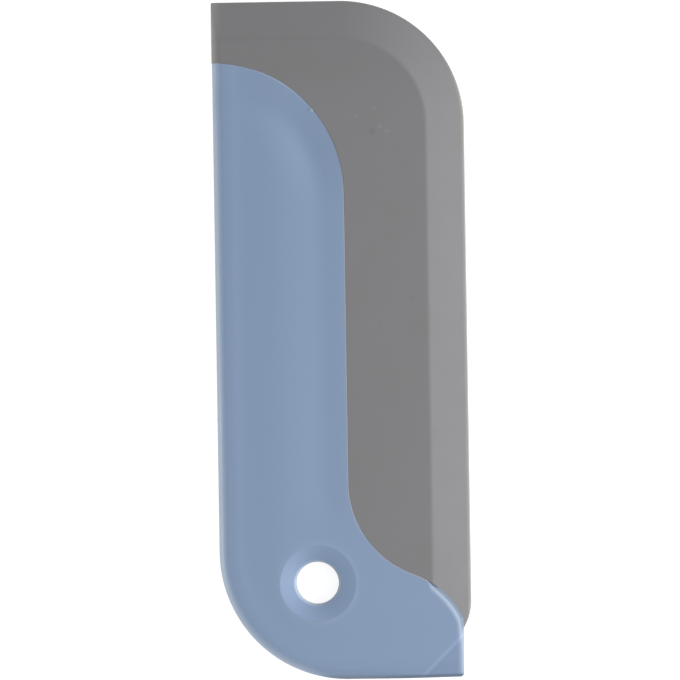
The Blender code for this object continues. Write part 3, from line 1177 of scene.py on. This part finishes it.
def wire(
    tree: bpy.types.NodeTree,
    node: bpy.types.Node,
    values: Mapping[str | int, object] | None = None,
    links: Mapping[str | int, bpy.types.NodeSocket] | None = None,
) -> None:
    """Sets and links the input sockets of a node.

    Args:
        tree: Node tree that holds the node.
        node: The node.
        values: Value of each input socket that isn't left as it is.
        links: Output socket that feeds each linked input.
    """
    for name, value in (values or {}).items():
        node.inputs[name].default_value = value
    for name, socket in (links or {}).items():
        tree.links.new(socket, node.inputs[name])


def add_node(
    tree: bpy.types.NodeTree,
    kind: str,
    values: Mapping[str | int, object] | None = None,
    links: Mapping[str | int, bpy.types.NodeSocket] | None = None,
    **settings: object,
) -> bpy.types.Node:
    """Adds a node to a material or world, with its settings, values and links.

    Args:
        tree: Node tree to add to.
        kind: Blender's name for the node's type.
        values: Value of each input socket that isn't left as it is.
        links: Output socket that feeds each linked input.
        **settings: The node's own properties.

    Returns:
        The new node.
    """
    node = tree.nodes.new(kind)
    for name, value in settings.items():
        setattr(node, name, value)
    wire(tree, node, values, links)
    return node


@dataclass(frozen=True)
class Mark:
    """A speck or scuff on the front face: its place in the frame, size, tint and strength."""

    x: float
    y: float
    radius: float
    tint: str
    strength: float

    def cover(
        self, tree: bpy.types.NodeTree, spot: bpy.types.NodeSocket
    ) -> bpy.types.NodeSocket:
        """Adds the nodes that say how far the mark covers a point.

        Args:
            tree: Node tree to add to.
            spot: Object coordinates.

        Returns:
            The mark's strength, which fades to nothing at its radius.
        """
        away = add_node(
            tree,
            "ShaderNodeVectorMath",
            values={1: (self.x, self.y, frame_top)},
            links={0: spot},
            operation="DISTANCE",
        ).outputs["Value"]
        return add_node(
            tree,
            "ShaderNodeMapRange",
            values={"From Max": self.radius, "To Min": self.strength, "To Max": 0.0},
            links={"Value": away},
            interpolation_type="SMOOTHSTEP",
        ).outputs["Result"]


@dataclass(frozen=True)
class MouldedFinish:
    """A moulded plastic: its colour, the faint flow marks and dust in it and its eroded grain."""

    name: str
    slot: str
    base: str
    flow_tint: str
    dust_tint: str
    edge_tints: tuple[tuple[str, str], ...]
    flow_size: float
    grain_size: float
    grain_depth: float
    least_roughness: float
    most_roughness: float
    sheen: float
    sheen_roughness: float
    ior: float
    dust_pitch: float
    dust_share: float
    marks: tuple[Mark, ...]
    flow_detail: float = 3.0
    flow_roughness: float = 0.55
    flow_range: tuple[float, float] = (0.3, 0.7)
    dust_strength: float = 0.6

    def covers(
        self, tree: bpy.types.NodeTree, spot: bpy.types.NodeSocket
    ) -> list[tuple[bpy.types.NodeSocket, str]]:
        """Adds the nodes that say where dust, the edge tints of painted highlight and painted
        shade, and marks lie.

        Args:
            tree: Node tree to add to.
            spot: Object coordinates.

        Returns:
            How far each covers a point, with its tint, from the lowest up.
        """
        cell = add_node(
            tree,
            "ShaderNodeTexVoronoi",
            values={"Scale": 1 / self.dust_pitch},
            links={"Vector": spot},
        ).outputs["Distance"]
        dust = add_node(
            tree,
            "ShaderNodeMapRange",
            values={"From Max": self.dust_share, "To Min": self.dust_strength, "To Max": 0.0},
            links={"Value": cell},
        ).outputs["Result"]
        edges = (
            (add_node(tree, "ShaderNodeAttribute", attribute_name=layer).outputs["Fac"], tint)
            for layer, tint in self.edge_tints
        )
        marks = ((mark.cover(tree, spot), mark.tint) for mark in self.marks)
        return [(dust, self.dust_tint), *edges, *marks]

    def make(self) -> bpy.types.Material:
        """Makes the material.

        Returns:
            The material, drawn on object coordinates.
        """
        material = bpy.data.materials.new(self.name)
        material.use_nodes = True
        tree = material.node_tree
        spot = add_node(tree, "ShaderNodeTexCoord").outputs["Object"]
        flow = add_node(
            tree,
            "ShaderNodeTexNoise",
            values={
                "Scale": 1 / self.flow_size,
                "Detail": self.flow_detail,
                "Roughness": self.flow_roughness,
            },
            links={"Vector": spot},
        ).outputs["Fac"]
        grain = add_node(
            tree,
            "ShaderNodeTexNoise",
            values={"Scale": 1 / self.grain_size},
            links={"Vector": spot},
        ).outputs["Fac"]
        colour = add_node(
            tree,
            "ShaderNodeMix",
            values={MIX_UNDER: srgb(self.base), MIX_OVER: srgb(self.flow_tint)},
            links={MIX_SHARE: flow},
            data_type="RGBA",
        ).outputs[MIX_RESULT]
        for cover, tint in self.covers(tree, spot):
            colour = add_node(
                tree,
                "ShaderNodeMix",
                values={MIX_OVER: srgb(tint)},
                links={MIX_SHARE: cover, MIX_UNDER: colour},
                data_type="RGBA",
            ).outputs[MIX_RESULT]
        roughness = add_node(
            tree,
            "ShaderNodeMapRange",
            values={
                "From Min": self.flow_range[0],
                "From Max": self.flow_range[1],
                "To Min": self.least_roughness,
                "To Max": self.most_roughness,
            },
            links={"Value": flow},
        ).outputs["Result"]
        bump = add_node(
            tree,
            "ShaderNodeBump",
            values={"Distance": self.grain_depth},
            links={"Height": grain},
        ).outputs["Normal"]
        wire(
            tree,
            tree.nodes["Principled BSDF"],
            values={
                "Metallic": 0.0,
                "IOR": self.ior,
                "Sheen Weight": self.sheen,
                "Sheen Roughness": self.sheen_roughness,
            },
            links={"Base Color": colour, "Roughness": roughness, "Normal": bump},
        )
        return material


def dress(piece: bpy.types.Object, finish: MouldedFinish, node: str) -> None:
    """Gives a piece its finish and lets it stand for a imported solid.

    Args:
        piece: The finer mesh.
        finish: What it is moulded from.
        node: The solid that it replaces.
    """
    piece.data.materials.append(finish.make())
    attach(piece, "root")
    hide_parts(node)
    log.info("%s: %d faces in %s", piece.name, len(piece.data.polygons), finish.name)


@dataclass(frozen=True)
class Lamp:
    """A soft box: where it hangs, how far it is slid towards the foot, its size and power."""

    name: str
    azimuth: float
    elevation: float
    distance: float
    slide: float
    width: float
    height: float
    power: float


@dataclass
class Studio:
    """A pale floor, soft boxes round it and a camera straight above the tool."""

    berth: Berth
    floor_size: float = 3.0
    floor_colour: str = "#C8C8C8"
    floor_roughness: float = 0.9
    floor_glow: float = 0.80
    ambient: float = 0.486
    camera_distance: float = 1.000
    picture_width: float = 0.16034
    camera_x: float = 0.02936
    camera_y: float = 0.08020
    camera_turn: float = math.radians(-0.90)
    sensor_mm: float = 36.0
    lamps: tuple[Lamp, ...] = (
        Lamp("right_strip", 0.0, math.radians(8), 0.45, -0.03, 0.50, 0.08, 2.60),
        Lamp("left_strip", math.pi, math.radians(5), 0.45, 0.08, 0.26, 0.05, 0.80),
        Lamp("top_strip", QUARTER_TURN, math.radians(8), 0.45, 0.00, 0.26, 0.08, 0.12),
        Lamp("foot_strip", -QUARTER_TURN, math.radians(8), 0.45, 0.00, 0.26, 0.08, 0.12),
        Lamp("right_box", 0.0, math.radians(45), 0.50, 0.10, 0.26, 0.25, 0.88),
    )

    def seen_ray(self, tree: bpy.types.NodeTree) -> bpy.types.NodeSocket:
        """Adds a mask that is 1 for rays of the eye, of gloss and of clear parts.

        Args:
            tree: Node tree to add to.

        Returns:
            The mask's socket.
        """
        rays = add_node(tree, "ShaderNodeLightPath").outputs
        mask = rays["Is Camera Ray"]
        for name in ("Is Glossy Ray", "Is Transmission Ray"):
            mask = add_node(
                tree, "ShaderNodeMath", links={0: mask, 1: rays[name]}, operation="MAXIMUM"
            ).outputs["Value"]
        return mask

    def lay_floor(self) -> None:
        """Lays a plain pale floor, which glows where it is seen and keeps the tool's shadow."""
        # Matte board: no gloss, so that nothing but the tool's own shadow shows on it.
        material = bpy.data.materials.new("matte white board")
        material.use_nodes = True
        tree = material.node_tree
        glow = add_node(
            tree,
            "ShaderNodeMath",
            values={1: self.floor_glow},
            links={0: self.seen_ray(tree)},
            operation="MULTIPLY",
        ).outputs["Value"]
        wire(
            tree,
            tree.nodes["Principled BSDF"],
            values={
                "Base Color": srgb(self.floor_colour),
                "Roughness": self.floor_roughness,
                "Specular IOR Level": 0.0,
                "Emission Color": srgb(WHITE),
            },
            links={"Emission Strength": glow},
        )
        bm = bmesh.new()
        bmesh.ops.create_grid(bm, x_segments=1, y_segments=1, size=self.floor_size / 2)
        floor = make_object(bm, "floor")
        floor.data.materials.append(material)

    def light_world(self) -> None:
        """Fills the room with even light and shows it as plain white."""
        world = bpy.data.worlds.new("white room")
        bpy.context.scene.world = world
        world.use_nodes = True
        tree = world.node_tree
        strength = add_node(
            tree,
            "ShaderNodeMapRange",
            values={"To Min": self.ambient, "To Max": 1.0},
            links={"Value": self.seen_ray(tree)},
        ).outputs["Result"]
        wire(
            tree,
            tree.nodes["Background"],
            values={"Color": srgb(WHITE)},
            links={"Strength": strength},
        )

    def hang(self, lamp: Lamp) -> None:
        """Hangs one soft box and aims it at the tool.

        Args:
            lamp: The soft box.
        """
        light = bpy.data.lights.new(lamp.name, "AREA")
        light.shape = "RECTANGLE"
        light.size, light.size_y = lamp.width, lamp.height
        light.energy = lamp.power
        box = bpy.data.objects.new(lamp.name, light)
        out = Vector(
            (
                math.cos(lamp.azimuth) * math.cos(lamp.elevation),
                math.sin(lamp.azimuth) * math.cos(lamp.elevation),
                math.sin(lamp.elevation),
            )
        )
        box.location = out * lamp.distance - Vector((0, lamp.slide, 0))
        box.rotation_euler = out.to_track_quat("Z", "Y").to_euler()
        bpy.context.scene.collection.objects.link(box)

    def set_camera(self) -> None:
        """Hangs the camera straight above the tool, turned as the photograph is."""
        data = bpy.data.cameras.new("camera")
        data.sensor_width = self.sensor_mm
        data.lens = self.sensor_mm * self.camera_distance / self.picture_width
        camera = bpy.data.objects.new("camera", data)
        height = self.berth.grip_half + self.camera_distance
        camera.location = self.berth.place(self.camera_x, self.camera_y, height)
        camera.rotation_euler = (0.0, 0.0, self.camera_turn)
        bpy.context.scene.collection.objects.link(camera)
        bpy.context.scene.camera = camera

    def build(self) -> None:
        """Lays the floor, lights it and sets the camera."""
        self.lay_floor()
        self.light_world()
        for lamp in self.lamps:
            self.hang(lamp)
        self.set_camera()
        bpy.context.scene.view_settings.view_transform = "Standard"


# Polypropylene, moulded in a lightly eroded mould: an even, milky pale blue with a broad soft gloss
# and no mirror. Painted highlights pale its rims, border and eye, and painted shade darkens its
# foot, tip and groove. The real grain is about 0.1 mm across, too fine to show here, so it is drawn
# 0.4 mm across.
POLYPROPYLENE = MouldedFinish(
    name="pale blue polypropylene, moulded",
    slot="grip",
    base="#869BBA",
    flow_tint="#849AB8",
    dust_tint="#9BAEC6",
    # Edge tints: painted highlight, painted border highlight and painted shade.
    edge_tints=((PAINTED_HIGHLIGHT_LAYER, "#AEBCCD"), (BORDER_HIGHLIGHT_LAYER, "#969DAA"), (PAINTED_SHADE_LAYER, "#5B6A7F")),
    flow_size=0.012,
    grain_size=0.0004,
    grain_depth=0.000004,
    least_roughness=0.42,
    most_roughness=0.50,
    sheen=0.35,
    sheen_roughness=0.35,
    ior=1.49,
    dust_pitch=0.009,
    dust_share=0.012,
    marks=(
        Mark(-0.00689, 0.05445, 0.0008, "#6B7F9A", 0.6),
        Mark(-0.00607, 0.05430, 0.0006, "#D8DADC", 1.0),
    ),
)

# Thermoplastic rubber, moulded over the grip as a second shot: a dull mid grey that hardly shines,
# so that it looks soft beside the blue, with a painted highlight along its lip and spine and
# painted shade behind its top bevel. Its grain is drawn 0.5 mm across, for the same reason.
RUBBER = MouldedFinish(
    name="grey thermoplastic rubber, moulded",
    slot="blade",
    base="#7D7D80",
    flow_tint="#7B7B7C",
    dust_tint="#6F6F6F",
    # Edge tints: painted highlight and painted shade.
    edge_tints=((PAINTED_HIGHLIGHT_LAYER, "#989591"), (PAINTED_SHADE_LAYER, "#606060")),
    flow_size=0.010,
    grain_size=0.0005,
    grain_depth=0.000005,
    least_roughness=0.58,
    most_roughness=0.68,
    sheen=0.25,
    sheen_roughness=0.35,
    ior=1.50,
    dust_pitch=0.008,
    dust_share=0.016,
    marks=(
        Mark(0.00794, 0.04907, 0.0012, "#6E6E70", 0.7),
        Mark(0.00992, 0.05019, 0.0010, "#8A8A8B", 0.7),
        Mark(0.01148, 0.04914, 0.0008, "#8A8A8B", 0.6),
        Mark(0.00422, 0.05263, 0.0008, "#8A8A8B", 0.6),
        Mark(0.00841, 0.05455, 0.0008, "#868687", 0.6),
        Mark(0.01676, 0.00941, 0.0007, "#6E6E70", 0.6),
        Mark(0.00919, 0.00339, 0.0007, "#6E6E70", 0.6),
    ),
)


def main() -> None:
    """Builds the studio, the grip and the blade."""
    logging.basicConfig(level=logging.INFO, format="%(name)s: %(message)s")
    berth = Berth.from_frame()
    Studio(berth).build()
    border = Border(berth)
    dress(Grip(berth, border, Eye(), Tip()).build(), POLYPROPYLENE, "grip")
    dress(Blade(berth, border).build(), RUBBER, "blade")


if __name__ == "__main__":
    main()
